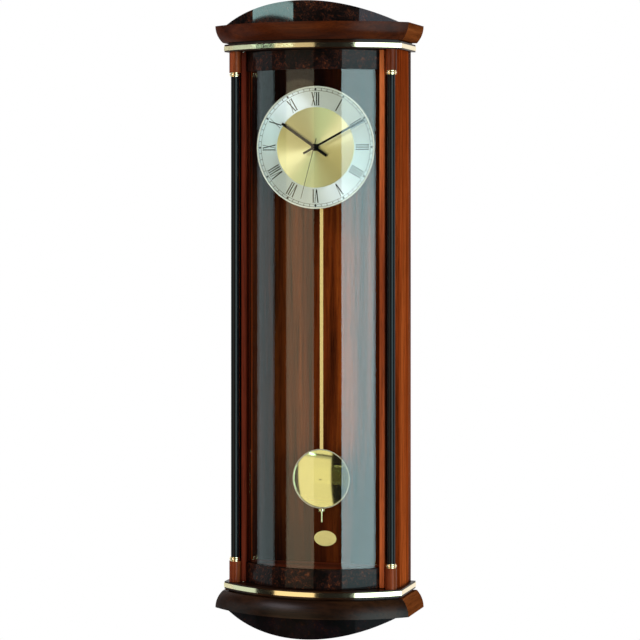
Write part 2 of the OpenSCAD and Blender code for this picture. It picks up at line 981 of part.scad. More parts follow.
// Circuit board beside the train, with the timing crystal's round can on it
module circuit_board() {
    board_d = cover_in + 1.4;
    left = -move_w / 2 + move_wall;
    right = mid_at[0] - tip_r(mid_teeth, mid_size) - board_clear;
    color("#2f6b3c") in_place() {
        on_arbor(board_d, board_d + board_t)
            translate([left, shelf_z + shelf_t]) square([right - left, board_h]);
        translate([(left + right) / 2, -(board_d + board_t + can_r), dial_z + shelf_z + shelf_t + 4])
            cylinder(r = can_r, h = can_h);
    }
}

module pendulum_coil() {
    color("#a5521f") in_place()
        on_arbor(cover_in, cover_in + drive_coil_t)
            translate([0, magnet_z - dial_z])
                difference() {
                    circle(drive_coil_r);
                    circle(drive_coil_hole);
                }
}

// Baton hand on a round hub, pointing up before it is turned
module baton(length, tail, width, thick, hub_r, hub_t, bore, depth, turned) {
    translate([0, 0, dial_z]) rotate([0, turned, 0]) difference() {
        union() {
            from_wall(depth, depth + thick)
                translate([-width / 2, -tail]) square([width, length + tail]);
            from_wall(depth, depth + hub_t) circle(hub_r);
        }
        from_wall(depth - 1, depth + hub_t + 1) circle(bore);
    }
}

module hour_hand() {
    color("#0a0a0a") in_place()
        baton(
            hour_len, hour_tail, hour_w, hand_t, hour_hub_r, hour_hub_t, hour_tube_r,
            hour_hand_d, hour_at
        );
}

module minute_hand() {
    color("#0a0a0a") in_place()
        baton(
            minute_len, minute_tail, minute_w, hand_t, minute_hub_r, hour_hub_t, cannon_r,
            minute_hand_d, minute_at
        );
}

// Second hand: a thin pointer under a round cap
module second_hand() {
    color("#0a0a0a") in_place()
        translate([0, 0, dial_z]) rotate([0, second_at, 0]) difference() {
            union() {
                from_wall(second_hand_d, second_hand_d + 0.5)
                    polygon([
                        [-second_w / 2, -second_tail], [second_w / 2, -second_tail],
                        [second_w / 3, second_len], [-second_w / 3, second_len]
                    ]);
                from_wall(second_hand_d, second_hand_d + cap_h) circle(cap_r);
            }
            from_wall(second_hand_d - 1, second_hand_d + 1) circle(second_r);
        }
}

module seconds_wheel() {
    color("#d8d4c0") in_place() {
        on_arbor(seconds_wheel_d, seconds_wheel_d + wheel_t)
            gear_outline(seconds_teeth, seconds_size, mid_dir);
        on_arbor(seconds_wheel_d + wheel_t, third_wheel_d + wheel_t + 0.4)
            gear_outline(seconds_pinion, third_size, third_dir);
        shaft([0, 0], second_r, cover_in - 0.9, seconds_wheel_d);
        shaft([0, 0], second_r, third_wheel_d + wheel_t + 0.4, second_hand_d + 1);
    }
}

module third_wheel() {
    color("#d8d4c0") in_place() {
        on_arbor(third_wheel_d, third_wheel_d + wheel_t)
            translate(third_at)
                gear_outline(third_teeth, third_size, third_dir + 180 + 180 / third_teeth);
        on_arbor(third_wheel_d + wheel_t, centre_wheel_d + wheel_t + 0.2)
            translate(third_at) gear_outline(third_pinion, centre_size, third_dir + 180);
        shaft(third_at, arbor_r, cover_in - 0.9, third_wheel_d);
        shaft(third_at, arbor_r, centre_wheel_d + wheel_t + 0.2, move_in + 0.9);
    }
}

// Centre wheel: it drives the cannon pinion by friction on its tube
module centre_wheel() {
    color("#c8a850") in_place()
        on_arbor(centre_wheel_d, centre_wheel_d + wheel_t)
            difference() {
                gear_outline(centre_teeth, centre_size, third_dir + 180 / centre_teeth);
                circle(cannon_r + run_gap);
            }
}

module cannon_pinion() {
    color("#c8a850") in_place()
        difference() {
            union() {
                on_arbor(motion_wheel_d - 0.2, motion_wheel_d + wheel_t + 0.2)
                    gear_outline(cannon_teeth, motion_size, motion_dir);
                shaft([0, 0], cannon_r, centre_wheel_d - 0.3, minute_hand_d + hour_hub_t);
            }
            shaft([0, 0], second_r + run_gap, centre_wheel_d - 1, minute_hand_d + hour_hub_t + 1);
        }
}

module motion_wheel() {
    color("#d8d4c0") in_place()
        difference() {
            union() {
                on_arbor(motion_wheel_d, motion_wheel_d + wheel_t)
                    translate(motion_at)
                        gear_outline(
                            motion_teeth, motion_size, motion_dir + 180 + 180 / motion_teeth
                        );
                on_arbor(motion_wheel_d + wheel_t, hour_wheel_d + wheel_t + 0.4)
                    translate(motion_at)
                        gear_outline(motion_pinion, hour_size, motion_dir + 180);
            }
            shaft(motion_at, stud_r + run_gap, motion_wheel_d - 1, move_in);
        }
}

module hour_wheel() {
    color("#d8d4c0") in_place()
        difference() {
            union() {
                on_arbor(hour_wheel_d, hour_wheel_d + wheel_t)
                    gear_outline(hour_teeth, hour_size, motion_dir + 180 / hour_teeth);
                shaft([0, 0], hour_tube_r, hour_wheel_d - 0.4, hour_hand_d + hour_hub_t);
            }
            shaft([0, 0], cannon_r + run_gap, hour_wheel_d - 1, hour_hand_d + hour_hub_t + 1);
        }
}

// Setting knob behind the movement; its pinion turns the motion wheel
module set_knob() {
    color("#3a3a3e") in_place() {
        on_arbor(move_back - 0.3 - 3, move_back - 0.3)
            translate(knob_at)
                union() {
                    circle(knob_r - 0.4);
                    for (a = [0:30:359]) rotate(a)
                        translate([knob_r - 0.9, -0.45]) square([0.9, 0.9]);
                }
        shaft(knob_at, knob_shaft_r, move_back - 0.3, motion_wheel_d - 0.2);
        on_arbor(motion_wheel_d - 0.2, motion_wheel_d + wheel_t + 0.2)
            translate(knob_at) gear_outline(knob_teeth, motion_size, motion_dir + 180);
        shaft(knob_at, knob_shaft_r, motion_wheel_d + wheel_t + 0.2, move_in + 0.9);
    }
}

module intermediate_wheel() {
    color("#d8d4c0") in_place() {
        on_arbor(mid_wheel_d, mid_wheel_d + 0.5)
            translate(mid_at) gear_outline(mid_teeth, mid_size, rotor_dir);
        on_arbor(mid_wheel_d + 0.5, seconds_wheel_d + wheel_t + 0.4)
            translate(mid_at)
                gear_outline(mid_pinion, seconds_size, mid_dir + 180 + 180 / mid_pinion);
        shaft(mid_at, arbor_r, cover_in - 0.9, mid_wheel_d);
        shaft(mid_at, arbor_r, seconds_wheel_d + wheel_t + 0.4, move_in + 0.9);
    }
}

module motor_rotor() {
    magnet_d = stator_d - 0.6;
    color("#6f7378") in_place() {
        on_arbor(mid_wheel_d - 0.4, mid_wheel_d + 0.9)
            translate(rotor_at)
                gear_outline(rotor_teeth, mid_size, rotor_dir + 180 + 180 / rotor_teeth);
        shaft(rotor_at, arbor_r, mid_wheel_d + 0.9, magnet_d);
        shaft(rotor_at, rotor_r, magnet_d, magnet_d + 2);
        shaft(rotor_at, arbor_r, cover_in - 0.9, mid_wheel_d - 0.4);
        shaft(rotor_at, arbor_r, magnet_d + 2, move_in + 0.9);
    }
}

// Rocker that swings on the movement's rear stud and carries the rod on its lower stud
module pendulum_rocker() {
    color("#e8e4d8") in_place()
        difference() {
            union() {
                translate([0, 0, rocker_z]) from_wall(rocker_back, rocker_front) circle(rocker_r);
                from_wall(arm_front - arm_t, arm_front)
                    translate([-arm_half, hook_z - rocker_r])
                        square([2 * arm_half, rocker_z - hook_z + rocker_r]);
                translate([0, 0, hook_z]) {
                    from_wall(rod_back - rod_play, arm_front - arm_t) circle(rocker_stud_r);
                    from_wall(rod_back - rod_play - flange_t, rod_back - rod_play) circle(flange_r);
                    from_wall(rod_front + seat_gap, arm_front - arm_t) circle(flange_r);
                }
            }
            translate([0, 0, rocker_z])
                from_wall(rocker_back - 1, rocker_front + 1) circle(rocker_stud_r + run_gap);
        }
}

module rocker_magnet() {
    color("#8d9095") in_place()
        translate([0, 0, magnet_z]) from_wall(arm_front, move_back - magnet_clear) circle(magnet_r);
}

module pendulum_rod() {
    color("#d9c36a") in_place() {
        difference() {
            from_wall(rod_back, rod_front)
                union() {
                    translate([-rod_w / 2, stem_top]) square([rod_w, hook_z - stem_top]);
                    translate([0, hook_z]) circle(rod_w / 2 + 0.8);
                }
            translate([0, 0, hook_z])
                from_wall(rod_back - 1, rod_front + 1) circle(rocker_stud_r + run_gap);
        }
        // Threaded stem that the rating nut turns on
        translate([0, -(rod_back + rod_front) / 2, stem_end])
            cylinder(r = stem_r, h = stem_top - stem_end + 1);
    }
}

// Room for the rod and its stem through the bob
module rod_channel() {
    from_wall(rod_back - run_gap, rod_front + run_gap)
        translate([-rod_w / 2 - run_gap, stem_top - bob_travel - gap])
            square([rod_w + 2 * run_gap, bob_d + 10]);
    translate([0, -(rod_back + rod_front) / 2, bob_z - bob_r - 5])
        cylinder(r = stem_r + run_gap, h = stem_top - bob_z + bob_r + 6 + bob_travel + gap);
}

module bob_face() {
    dome_r = arc_r(face_r, bob_dome);
    color("#d3b555") in_place()
        difference() {
            translate([0, 0, bob_z]) rotate([90, 0, 0]) rotate_extrude($fn = 120)
                intersection() {
                    translate([0, rod_front + 0.8 + bob_dome - dome_r]) circle(dome_r, $fn = 360);
                    translate([0, rod_back - 0.8]) square([face_r, bob_dome + 10]);
                }
            rod_channel();
        }
}

module bob_rim() {
    color("#c4c8cc") in_place()
        difference() {
            translate([0, 0, bob_z])
                from_wall(rod_back - 1.2, rod_front + 1.6)
                    difference() {
                        circle(bob_r, $fn = 120);
                        circle(face_r, $fn = 120);
                    }
            rod_channel();
        }
}

module rating_nut() {
    color("#d9c36a") in_place()
        translate([0, -(rod_back + rod_front) / 2, nut_top - nut_h])
            difference() {
                linear_extrude(nut_h)
                    union() {
                        circle(nut_r - 0.3);
                        for (a = [0:20:359]) rotate(a)
                            translate([nut_r - 0.7, -0.3]) square([0.7, 0.6]);
                    }
                translate([0, 0, -1]) cylinder(r = stem_r + run_gap, h = nut_h + 2);
            }
}

// Plan of a door stile on the right-hand side, with a groove for the glass
module stile_plan() {
    difference() {
        union() {
            translate([stile_in, -stile_front + stile_round])
                square([stile_w, stile_front - stile_round - stile_back]);
            translate([stile_in, -stile_front])
                square([stile_w - stile_round, stile_round + 1]);
            translate([stile_out - stile_round, -stile_front + stile_round]) circle(stile_round);
        }
        glass_plan(seat_gap, glass_half + seat_gap);
    }
}

// Plan of the glass, or of its groove when a clearance is given
module glass_plan(clear, half) {
    bowed_band(glass_r + clear, glass_r - glass_t - clear, door_y, half);
}

module door_stile(side) {
    difference() {
        on_plan(-door_top, door_top) stile_plan();
        if (side < 0)
            both_ends() translate([-pivot_x, -pivot_depth, door_top - pin_hold])
                cylinder(r = pin_r, h = pin_hold + 1);
    }
}

module door_stile_left() {
    color("#7a3d1c") in_place() mirror([1, 0, 0]) door_stile(-1);
}

module door_stile_right() {
    color("#7a3d1c") in_place() door_stile(1);
}

module door_rail() {
    difference() {
        on_plan(rail_z, door_top)
            bowed_band(door_r, door_r - rail_t, door_y, stile_in);
        on_plan(rail_z - 1, rail_z + glass_bite + seat_gap)
            glass_plan(seat_gap, stile_in + 1);
    }
}

module door_top_rail() {
    color("#3a1c14") in_place() door_rail();
}

module door_bottom_rail() {
    color("#1c120c") in_place() mirror([0, 0, 1]) door_rail();
}

module door_glass() {
    color([0.7, 0.8, 0.8, 0.35]) in_place()
        on_plan(-rail_z - glass_bite, rail_z + glass_bite) glass_plan(0, glass_half);
}

// Two steel pivot pins, and the strike plate that the magnet holds
module door_hardware() {
    color("#b8b8b8") in_place() {
        both_ends()
            translate([pivot_x, -pivot_depth, door_top - pin_hold])
                cylinder(r = pin_r, h = pin_hold + gap + bush_l - 1.5);
        from_wall(stile_back - strike_t, stile_back)
            translate([stile_in + strike_in, catch_z - catch_half])
                square([strike_w, 2 * catch_half]);
    }
}

back_panel();
side_left();
side_right();
top_board();
bottom_board();
inner_boards();
upper_cornice();
lower_cornice();
cornice_returns();
cornice_cores();
upper_brass_strip();
lower_brass_strip();
crest_panel();
drop_panel();
columns();
column_blocks();
column_collars();
door_jambs();
pivot_bushes();
magnet_catch();
hanger_plate();
case_screws();
badge_plate();
movement_bracket();
dial_plate();
dial_disc();
dial_rim();
dial_nut();
movement_case();
movement_cover();
battery();
battery_contacts();
motor_coil();
motor_stator();
circuit_board();
pendulum_coil();
hour_hand();
minute_hand();
second_hand();
hour_wheel();
cannon_pinion();
motion_wheel();
set_knob();
centre_wheel();
third_wheel();
seconds_wheel();
intermediate_wheel();
motor_rotor();
pendulum_rocker();
rocker_magnet();
pendulum_rod();
bob_face();
bob_rim();
rating_nut();
door_stile_left();
door_stile_right();
door_top_rail();
door_bottom_rail();
door_glass();
door_hardware();
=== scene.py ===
import math

import bpy
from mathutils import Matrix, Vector


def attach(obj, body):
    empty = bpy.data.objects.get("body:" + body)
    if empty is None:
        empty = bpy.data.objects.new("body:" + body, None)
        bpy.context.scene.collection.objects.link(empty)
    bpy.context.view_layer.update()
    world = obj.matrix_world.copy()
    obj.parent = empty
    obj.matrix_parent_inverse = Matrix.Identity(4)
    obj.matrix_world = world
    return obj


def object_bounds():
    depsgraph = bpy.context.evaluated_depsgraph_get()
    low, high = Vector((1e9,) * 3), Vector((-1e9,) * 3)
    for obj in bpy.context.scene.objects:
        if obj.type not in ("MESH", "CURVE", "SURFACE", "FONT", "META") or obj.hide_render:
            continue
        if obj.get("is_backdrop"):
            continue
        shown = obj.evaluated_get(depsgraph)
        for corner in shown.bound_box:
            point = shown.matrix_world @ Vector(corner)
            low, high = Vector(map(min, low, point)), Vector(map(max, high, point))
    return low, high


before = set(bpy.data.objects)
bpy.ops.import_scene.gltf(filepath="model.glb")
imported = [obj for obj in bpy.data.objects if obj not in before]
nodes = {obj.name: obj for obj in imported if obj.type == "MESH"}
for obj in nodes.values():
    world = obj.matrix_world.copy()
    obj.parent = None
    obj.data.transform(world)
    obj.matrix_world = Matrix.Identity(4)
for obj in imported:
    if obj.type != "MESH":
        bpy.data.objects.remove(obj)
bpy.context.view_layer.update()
scene = bpy.context.scene

MM = 0.001
# The case's middle below the hanger, the dial's centre and front face, and the bob's centre
MIDDLE_Z = -250 * MM
DIAL_Z = MIDDLE_Z + 195.2 * MM
DIAL_Y = -52 * MM
BOB_Z = MIDDLE_Z - 188 * MM


# Node helpers

def new_material(name):
    m = bpy.data.materials.new(name)
    m.use_nodes = True
    return m, m.node_tree, m.node_tree.nodes["Principled BSDF"]


def add(nt, kind, links=None, **values):
    """A new node of that kind. links: input name or number to the socket it takes.
    values: input name or property to a plain value."""
    n = nt.nodes.new("ShaderNode" + kind)
    for key, value in values.items():
        if hasattr(n, key):
            setattr(n, key, value)
        else:
            n.inputs[key.replace("_", " ")].default_value = value
    for key, socket in (links or {}).items():
        nt.links.new(socket, n.inputs[key])
    return n


def maths(nt, op, a, b=None, c=None):
    n = nt.nodes.new("ShaderNodeMath")
    n.operation = op
    for i, v in enumerate((a, b, c)):
        if v is None:
            continue
        if isinstance(v, (int, float)):
            n.inputs[i].default_value = v
        else:
            nt.links.new(v, n.inputs[i])
    return n.outputs[0]


def place(nt, scale=(1, 1, 1), shift=(0, 0, 0)):
    tc = nt.nodes.new("ShaderNodeTexCoord")
    m = nt.nodes.new("ShaderNodeMapping")
    m.inputs["Scale"].default_value = scale
    m.inputs["Location"].default_value = shift
    nt.links.new(tc.outputs["Object"], m.inputs["Vector"])
    return m.outputs[0]


def noise(nt, vector, scale, detail=4, rough=0.6, distortion=0.0):
    n = add(nt, "TexNoise", {"Vector": vector}, Scale=scale, Detail=detail, Roughness=rough,
            Distortion=distortion)
    return n.outputs["Fac"]


def ramp(nt, fac, stops, interpolation="LINEAR"):
    n = nt.nodes.new("ShaderNodeValToRGB")
    cr = n.color_ramp
    cr.interpolation = interpolation
    while len(cr.elements) < len(stops):
        cr.elements.new(0.5)
    for e, (pos, col) in zip(cr.elements, stops):
        e.position = pos
        e.color = (*col, 1)
    nt.links.new(fac, n.inputs["Fac"])
    return n.outputs["Color"]


def grey(v):
    return (v, v, v)


def blend(nt, kind, fac, a, b):
    n = nt.nodes.new("ShaderNodeMix")
    n.data_type = "RGBA"
    n.blend_type = kind
    for i, v in ((0, fac), (6, a), (7, b)):
        if isinstance(v, (int, float)):
            n.inputs[i].default_value = v
        elif isinstance(v, tuple):
            n.inputs[i].default_value = (*v, 1)
        else:
            nt.links.new(v, n.inputs[i])
    return n.outputs[2]


def bump(nt, bsdf, height, strength):
    n = add(nt, "Bump", {"Height": height}, Strength=strength, Distance=0.1 * MM)
    nt.links.new(n.outputs[0], bsdf.inputs["Normal"])


# Materials

def wood(name, dark, mid, light, grain="Z", rough=0.45, coat=0.0, satin=0.15, streak=0.55,
         shift=0.0, fade=(), spec=0.02):
    """Lacquered walnut: broad bands, fine streaks and pores along the grain.
    satin: the lacquer's roughness. streak: how dark the fine streaks get.
    fade: painted shade, given as rows of an axis, where on it the tone is darkest, where it is full,
    and the least share."""
    m, nt, b = new_material(name)
    squeeze = {"Z": (1, 1, 0.035), "X": (0.035, 1, 1), "Y": (1, 0.035, 1)}[grain]
    v = place(nt, squeeze, (shift, shift * 0.7, shift * 1.3))
    bands = noise(nt, v, 42, 5, 0.55, 0.8)
    body = ramp(nt, bands, [(0.34, dark), (0.50, mid), (0.66, light)])
    streaks = noise(nt, v, 240, 6, 0.7, 0.3)
    fine = ramp(nt, streaks, [(0.34, grey(1 - streak)), (0.56, grey(1.0))])
    pores = noise(nt, v, 1500, 3, 0.6)
    pits = ramp(nt, pores, [(0.36, grey(0.55)), (0.46, grey(1.0))])
    colour = blend(nt, "MULTIPLY", 1.0, blend(nt, "MULTIPLY", 1.0, body, fine), pits)
    # Painted shade: the colour is darkened along these axes
    for axis, edge, full, share in fade:
        sep = add(nt, "SeparateXYZ", {"Vector": place(nt)})
        tone = add(nt, "MapRange", {"Value": sep.outputs[axis]},
                   From_Min=edge, From_Max=full, To_Min=share, To_Max=1.0)
        colour = blend(nt, "MULTIPLY", 1.0, colour, tone.outputs["Result"])
    nt.links.new(colour, b.inputs["Base Color"])
    r = maths(nt, "MULTIPLY_ADD", streaks, 0.12, rough - 0.06)
    nt.links.new(r, b.inputs["Roughness"])
    b.inputs["Specular IOR Level"].default_value = spec
    b.inputs["Coat Weight"].default_value = coat
    b.inputs["Coat Roughness"].default_value = satin
    bump(nt, b, pores, 0.12)
    return m


def burl(name, lift, coat):
    """Gloss-lacquered root burl: near-black wood with swirling red-brown flecks.
    lift: how light the flecks are. coat: how much the lacquer mirrors."""
    m, nt, b = new_material(name)
    v = place(nt)
    warp = add(nt, "TexNoise", {"Vector": v}, Scale=60, Detail=3, Roughness=0.6)
    bent = add(nt, "VectorMath", {0: warp.outputs["Color"], 2: v}, operation="MULTIPLY_ADD")
    bent.inputs[1].default_value = grey(12 * MM)
    flecks = noise(nt, bent.outputs[0], 260, 8, 0.72, 1.1)
    clouds = noise(nt, bent.outputs[0], 48, 4, 0.6, 0.5)
    k = lift
    body = ramp(nt, flecks, [
        (0.42, (0.007, 0.003, 0.003)),
        (0.53, (0.030 * k, 0.008 * k, 0.004)),
        (0.60, (0.12 * k, 0.026 * k, 0.009 * k)),
        (0.70, (0.30 * k, 0.085 * k, 0.025 * k)),
    ])
    shade = ramp(nt, clouds, [(0.40, grey(0.15)), (0.62, grey(1.0))])
    nt.links.new(blend(nt, "MULTIPLY", 1.0, body, shade), b.inputs["Base Color"])
    b.inputs["Roughness"].default_value = 0.5
    b.inputs["Specular IOR Level"].default_value = 0.05
    b.inputs["Coat Weight"].default_value = coat
    b.inputs["Coat IOR"].default_value = 1.55
    b.inputs["Coat Roughness"].default_value = 0.03
    return m


def metal(name, colour, rough, wear=0.05):
    """Plain metal whose roughness wanders by wear."""
    m, nt, b = new_material(name)
    v = place(nt)
    n = noise(nt, v, 260, 4, 0.6)
    b.inputs["Base Color"].default_value = (*colour, 1)
    b.inputs["Metallic"].default_value = 1.0
    r = maths(nt, "MULTIPLY_ADD", n, 2 * wear, max(0.0, rough - wear))
    nt.links.new(r, b.inputs["Roughness"])
    return m


def turned(name, colour, rough, centre_z, aniso, metallic=1.0, rings=0.04, brush=0.0):
    """Metal with fine rings about a horizontal axis through x = 0.
    brush: 0 along the rings, 0.25 across them."""
    m, nt, b = new_material(name)
    tc = nt.nodes.new("ShaderNodeTexCoord")
    sep = add(nt, "SeparateXYZ", {"Vector": tc.outputs["Object"]})
    dz = maths(nt, "SUBTRACT", sep.outputs["Z"], centre_z)
    xx = maths(nt, "MULTIPLY", sep.outputs["X"], sep.outputs["X"])
    radius = maths(nt, "SQRT", maths(nt, "MULTIPLY_ADD", dz, dz, xx))
    lines = add(nt, "TexNoise", {"W": maths(nt, "MULTIPLY", radius, 5200)},
                noise_dimensions="1D", Scale=1.0, Detail=3)
    tone = maths(nt, "MULTIPLY_ADD", lines.outputs["Fac"], 2 * rings, 1 - rings)
    shade = ramp(nt, tone, [(0.0, grey(0.0)), (1.0, grey(1.0))])
    flat = blend(nt, "MULTIPLY", 1.0, colour, shade)
    nt.links.new(flat, b.inputs["Base Color"])
    b.inputs["Metallic"].default_value = metallic
    r = maths(nt, "MULTIPLY_ADD", lines.outputs["Fac"], 0.10, rough - 0.05)
    nt.links.new(r, b.inputs["Roughness"])
    b.inputs["Anisotropic"].default_value = aniso
    b.inputs["Anisotropic Rotation"].default_value = brush
    t = nt.nodes.new("ShaderNodeTangent")
    t.direction_type = "RADIAL"
    t.axis = "Y"
    nt.links.new(t.outputs[0], b.inputs["Tangent"])
    return m


def plastic(name, colour, rough=0.45):
    m, nt, b = new_material(name)
    v = place(nt)
    n = noise(nt, v, 900, 3, 0.5)
    c = ramp(nt, n, [(0.3, tuple(x * 0.9 for x in colour)), (0.7, colour)])
    nt.links.new(c, b.inputs["Base Color"])
    b.inputs["Roughness"].default_value = rough
    bump(nt, b, n, 0.05)
    return m


def lacquer(name, colour, rough=0.12, coat=0.9):
    m, nt, b = new_material(name)
    v = place(nt)
    n = noise(nt, v, 120, 3, 0.5)
    b.inputs["Base Color"].default_value = (*colour, 1)
    nt.links.new(maths(nt, "MULTIPLY_ADD", n, 0.06, rough - 0.03), b.inputs["Roughness"])
    b.inputs["Specular IOR Level"].default_value = 0.05
    b.inputs["Coat Weight"].default_value = coat
    b.inputs["Coat Roughness"].default_value = 0.03
    return m


GLASS_IOR = 1.5


def glass(name, tint, shine):
    """Thin clear glass: light passes straight through it, and its surfaces reflect by angle."""
    m = bpy.data.materials.new(name)
    m.use_nodes = True
    nt = m.node_tree
    nt.nodes.clear()
    out = nt.nodes.new("ShaderNodeOutputMaterial")
    through = add(nt, "BsdfTransparent")
    through.inputs["Color"].default_value = (*tint, 1)
    v = place(nt, (1, 1, 0.4))
    wave = noise(nt, v, 6, 2, 0.5)
    shape = add(nt, "Bump", {"Height": wave}, Strength=0.15, Distance=2 * MM)
    glossy = add(nt, "BsdfGlossy", {"Normal": shape.outputs[0]}, Roughness=0.015)
    # The same reflection from both sides of a surface, because the light isn't bent inside
    geo = nt.nodes.new("ShaderNodeNewGeometry")
    ior = maths(nt, "MULTIPLY_ADD", geo.outputs["Backfacing"], 1 / GLASS_IOR - GLASS_IOR, GLASS_IOR)
    fres = add(nt, "Fresnel", {"IOR": ior})
    fac = maths(nt, "MINIMUM", maths(nt, "MULTIPLY", fres.outputs[0], shine), 1.0)
    mix = add(nt, "MixShader", {0: fac, 1: through.outputs[0], 2: glossy.outputs[0]})
    nt.links.new(mix.outputs[0], out.inputs["Surface"])
    return m


def wound(name, colour, axis):
    """Enamelled copper wire wound in close turns."""
    m, nt, b = new_material(name)
    v = place(nt)
    w = add(nt, "TexWave", {"Vector": v}, bands_direction=axis, Scale=700, Distortion=0.4)
    c = ramp(nt, w.outputs["Fac"], [(0.1, tuple(x * 0.35 for x in colour)), (0.6, colour)])
    nt.links.new(c, b.inputs["Base Color"])
    b.inputs["Metallic"].default_value = 0.8
    b.inputs["Roughness"].default_value = 0.3
    bump(nt, b, w.outputs["Fac"], 0.6)
    return m


def circuit(name):
    m, nt, b = new_material(name)
    v = place(nt)
    w = add(nt, "TexBrick", {"Vector": v}, Scale=180)
    w.inputs["Color1"].default_value = (0.02, 0.13, 0.05, 1)
    w.inputs["Color2"].default_value = (0.03, 0.17, 0.07, 1)
    w.inputs["Mortar"].default_value = (0.10, 0.32, 0.14, 1)
    nt.links.new(w.outputs["Color"], b.inputs["Base Color"])
    b.inputs["Roughness"].default_value = 0.3
    return m


def sleeve(name):
    """Battery sleeve: copper-coloured and black bands along the cell."""
    m, nt, b = new_material(name)
    tc = nt.nodes.new("ShaderNodeTexCoord")
    sep = add(nt, "SeparateXYZ", {"Vector": tc.outputs["Object"]})
    x = maths(nt, "MULTIPLY_ADD", sep.outputs["X"], 18.0, 0.5)
    steel_end, ink, copper = (0.55, 0.56, 0.58), (0.01, 0.01, 0.012), (0.55, 0.28, 0.08)
    c = ramp(nt, x, [(0.0, steel_end), (0.07, ink), (0.66, copper), (0.92, steel_end)], "CONSTANT")
    nt.links.new(c, b.inputs["Base Color"])
    b.inputs["Metallic"].default_value = 0.7
    b.inputs["Roughness"].default_value = 0.25
    return m


# Walnut tones: the dark, middle and light colour of the bands
DEEP = ((0.08, 0.010, 0.001), (0.35, 0.052, 0.006), (0.56, 0.10, 0.012))
FRAME = ((0.09, 0.013, 0.004), (0.25, 0.042, 0.012), (0.40, 0.088, 0.026))
SIDE = ((0.18, 0.022, 0.003), (0.50, 0.062, 0.010), (0.74, 0.118, 0.022))
# Lit and shaded copies of the stiles' walnut: painted shade on the left stile, painted light on the
# right stile
STILE_PAINTED_SHADE = ((0.04, 0.003, 0.001), (0.12, 0.012, 0.004), (0.20, 0.026, 0.009))
STILE_PAINTED_LIGHT = ((0.28, 0.042, 0.009), (0.62, 0.115, 0.028), (0.78, 0.20, 0.055))
MOULD = ((0.040, 0.006, 0.001), (0.068, 0.011, 0.002), (0.10, 0.018, 0.003))
# Painted light: the cornice's returns, lighter than its front moulding
RETURN_PAINTED_LIGHT = ((0.20, 0.040, 0.009), (0.34, 0.068, 0.015), (0.46, 0.105, 0.026))
BLACKISH = ((0.014, 0.004, 0.001), (0.026, 0.008, 0.003), (0.042, 0.014, 0.005))

side_wood = wood("side_walnut", *SIDE, spec=0.0)
# Painted shade on the back panel: darker at its left, at its top above the dial and towards its
# bottom below the bob
BACK_PAINTED_SHADE = (("X", -0.06, 0.02, 0.28), ("Z", 0.01, -0.08, 0.2), ("Z", -0.50, -0.40, 0.45))
back_wood = wood("back_walnut", *DEEP, rough=0.55, streak=0.65, shift=0.31, fade=BACK_PAINTED_SHADE)
frame_wood = wood("frame_walnut", *FRAME, coat=0.15, shift=0.73)
# The stiles' walnut, with painted shade on the left one and painted light on the right one
stile_painted_shade_wood = wood("stile_painted_shade_walnut", *STILE_PAINTED_SHADE, coat=0.12, shift=0.73)
stile_painted_light_wood = wood("stile_painted_light_walnut", *STILE_PAINTED_LIGHT, coat=0.12, streak=0.35, shift=0.58)
dark_frame = wood("dark_frame_walnut", *BLACKISH, shift=0.83)
inner_wood = wood("inner_walnut", *FRAME, grain="X", shift=0.12)
cornice_wood = wood("cornice_walnut", *MOULD, grain="X", coat=0.15, satin=0.25, streak=0.35,
                    shift=0.5)
# Painted light on the cornice's returns
return_painted_light_wood = wood("return_painted_light_walnut", *RETURN_PAINTED_LIGHT, grain="Y", streak=0.35, shift=0.21, spec=0.0)
low_wood = wood("low_cornice_walnut", *BLACKISH, grain="X", coat=0.32, satin=0.3, shift=0.9)
ledge_wood = wood("ledge_walnut", *BLACKISH, grain="X", coat=0.3, shift=0.42)
core_wood = wood("core_walnut", *DEEP, grain="X", rough=0.55, shift=0.66)
crest_burl = burl("crest_burl", 1.0, 0.65)
rail_burl = burl("rail_burl", 0.8, 0.2)
drop_burl = burl("drop_burl", 0.15, 0.02)
black = lacquer("black_lacquer", (0.005, 0.005, 0.006), coat=0.26)
hand_black = lacquer("hand_black", (0.004, 0.004, 0.004), 0.4, 0.1)
brass = metal("polished_brass", (0.95, 0.80, 0.50), 0.10)
badge_brass = metal("badge_brass", (0.78, 0.73, 0.42), 0.14)
rod_brass = metal("rod_brass", (0.95, 0.79, 0.45), 0.22)
steel = metal("plated_steel", (0.62, 0.63, 0.65), 0.3, 0.08)
chrome = metal("bright_steel", (0.50, 0.52, 0.53), 0.08)
silver = turned("silvered_dial", (0.84, 0.93, 1.0), 0.36, DIAL_Z, 0.9, 0.76, brush=0.25)
white_rim = turned("dial_rim", (0.92, 0.93, 0.92), 0.25, DIAL_Z, 0.5, 0.6)
gold = turned("gold_disc", (0.88, 0.83, 0.46), 0.34, DIAL_Z, 0.92)
bob_gold = turned("bob_gold", (0.96, 0.92, 0.48), 0.08, BOB_Z, 0.2, rings=0.02)
shell = plastic("black_plastic", (0.018, 0.018, 0.02))
acetal = plastic("white_plastic", (0.72, 0.70, 0.64), 0.35)
coil = wound("copper_wire", (0.62, 0.24, 0.09), "X")
round_coil = wound("copper_coil", (0.62, 0.24, 0.09), "Y")
board = circuit("circuit_green")
cell = sleeve("cell_sleeve")
clear = glass("clear_glass", (0.94, 0.96, 0.95), 1.15)

